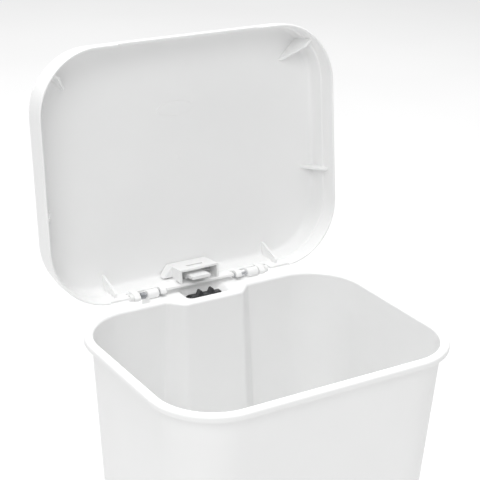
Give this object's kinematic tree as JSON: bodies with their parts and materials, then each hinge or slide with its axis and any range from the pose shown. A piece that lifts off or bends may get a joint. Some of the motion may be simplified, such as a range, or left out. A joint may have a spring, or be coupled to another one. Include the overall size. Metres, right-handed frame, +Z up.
{
  "type": "pedal trash can",
  "caption": "Tapered rectangular step-on kitchen bin with a rolled rim, a rear-hinged shallow lid, a lift rod in a rear channel and a front foot pedal.",
  "frame": {"origin": "centre of the flat underside of the base plate, on the floor", "axes": "+Z up, +Y to the rear where the hinge is, -Y to the front where the pedal is, +X to the right seen from the front"},
  "size_m": [0.418, 0.3931, 0.8942],
  "materials": {
    "white_body": "satin white polypropylene with a fine moulded grain",
    "white_lid": "satin white polypropylene, smoother inside",
    "white_parts": "plain white plastic",
    "steel": "zinc-plated steel",
    "spring_steel": "dull spring steel",
    "dark_plastic": "dark grey glass-filled plastic",
    "rubber": "ribbed black rubber"
  },
  "bodies": {
    "bin": {"body_shell": "white_body", "base_plate": "white_body", "base_screws": "steel", "channel_cover": "white_body", "cover_screws": "steel", "rod_guide_upper": "white_parts", "rod_guide_lower": "white_parts", "hinge_pin_left": "steel", "hinge_pin_right": "steel", "hinge_cap_left": "white_parts", "hinge_cap_right": "white_parts", "torsion_spring": "spring_steel", "pedal_axle": "steel"},
    "lid": {"lid_shell": "white_lid", "lift_bracket": "white_lid"},
    "rod": {"lift_rod": "dark_plastic", "link_pin": "steel", "link_clip": "spring_steel"},
    "pedal": {"pedal_lever": "dark_plastic", "axle_bush_left": "white_parts", "axle_bush_right": "white_parts", "pedal_tread": "rubber"}
  },
  "joints": [
    {"name": "lid_hinge", "type": "hinge", "parent": "bin", "child": "lid", "pos_m": [0, 0.1606, 0.5747], "axis": [-1, 0, 0], "range_deg": [-96.8, 0]},
    {"name": "rod_slide", "type": "slide", "parent": "bin", "child": "rod", "axis": [0, 0.1219, 0.9925], "range_m": [-0.0162, 0]},
    {"name": "pedal_pivot", "type": "hinge", "parent": "bin", "child": "pedal", "pos_m": [0, 0.005, 0.024], "axis": [1, 0, 0], "range_deg": [-12.1, 0]}
  ],
  "couplings": [
    {"joint": "rod_slide", "follows": "lid_hinge", "m_per_rad": 0.00947},
    {"joint": "pedal_pivot", "follows": "lid_hinge", "ratio": 0.12252}
  ]
}
